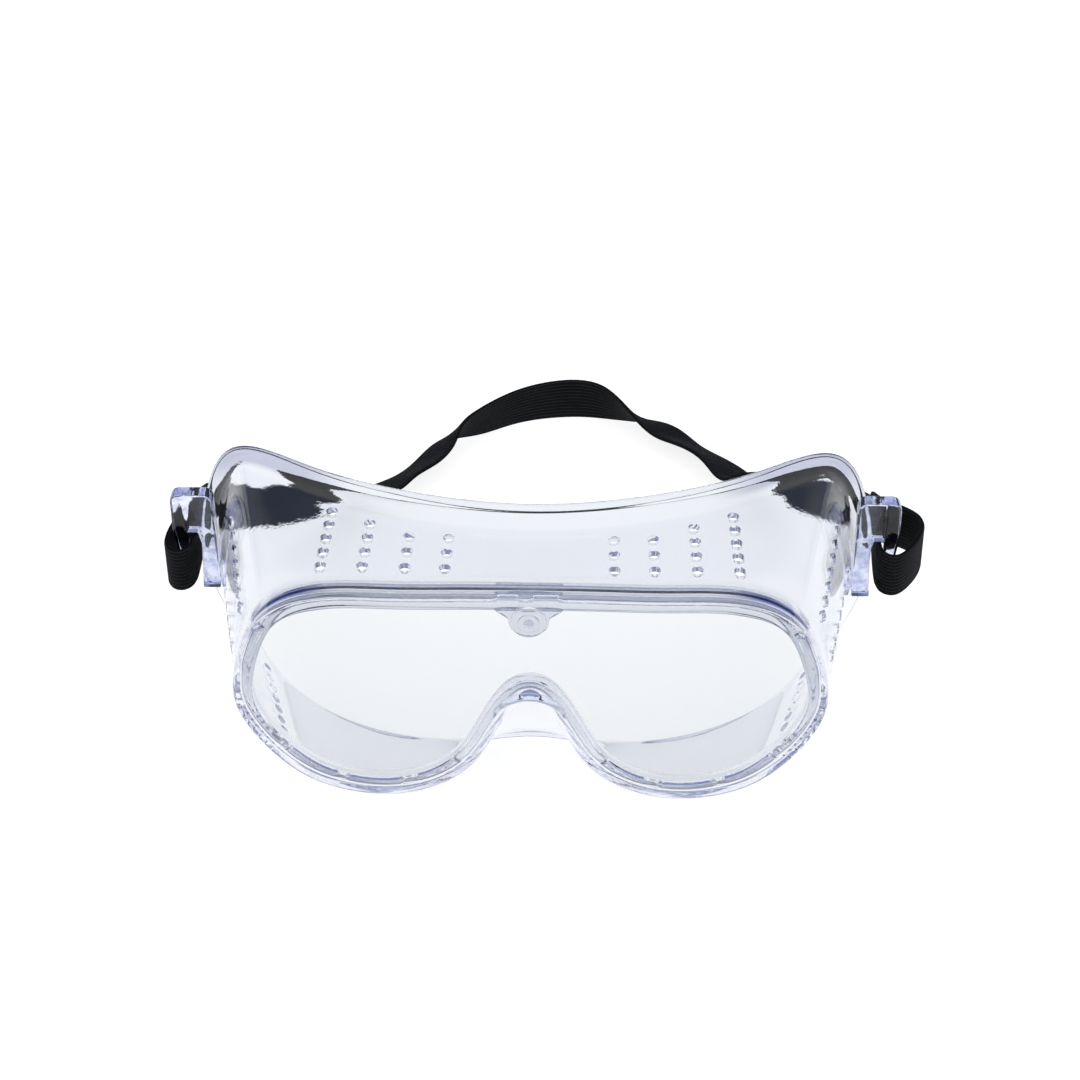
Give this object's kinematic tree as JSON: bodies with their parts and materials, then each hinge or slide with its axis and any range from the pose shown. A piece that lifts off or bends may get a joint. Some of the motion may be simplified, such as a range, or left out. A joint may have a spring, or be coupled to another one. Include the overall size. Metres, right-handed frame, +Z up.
{
  "type": "safety goggles",
  "caption": "Soft clear vented eye goggles: moulded skirt that seals on the face, flat clear lens held by a lip, temple hooks and a black elastic headband.",
  "frame": {"origin": "on the table, under the middle of the goggles and headband together", "axes": "+X to the wearer's left, -Y the way the lens faces, +Z up, as the goggles sit on a table"},
  "size_m": [0.1954, 0.1714, 0.0755],
  "materials": {
    "clear_vinyl": "clear soft vinyl with a faint blue cast, glossy",
    "clear_vinyl_thick": "the same clear vinyl where it is thick, so it looks bluer",
    "clear_lens": "clear polycarbonate, polished",
    "black_elastic": "black woven elastic with fine ribs along its length",
    "black_thread": "black sewing thread"
  },
  "bodies": {
    "frame": {"skirt": "clear_vinyl", "face_bead": "clear_vinyl", "lens_lip": "clear_vinyl", "lens_tab": "clear_vinyl", "brow_ledge": "clear_vinyl_thick", "nose_ledge": "clear_vinyl_thick", "strap_hook_left": "clear_vinyl_thick", "strap_hook_right": "clear_vinyl_thick"},
    "lens": {"lens": "clear_lens"},
    "headband": {"headband": "black_elastic", "stitch_left": "black_thread", "stitch_right": "black_thread"}
  },
  "joints": [
    {"name": "lens_release", "type": "slide", "parent": "frame", "child": "lens", "axis": [0, -1, 0], "range_m": [0, 0.03], "deforming": ["lens_lip", "lens_tab", "brow_ledge", "nose_ledge"]},
    {"name": "headband_swing", "type": "hinge", "parent": "frame", "child": "headband", "pos_m": [0, -0.0376, 0.0425], "axis": [1, 0, 0], "range_deg": [-4, 20]}
  ]
}
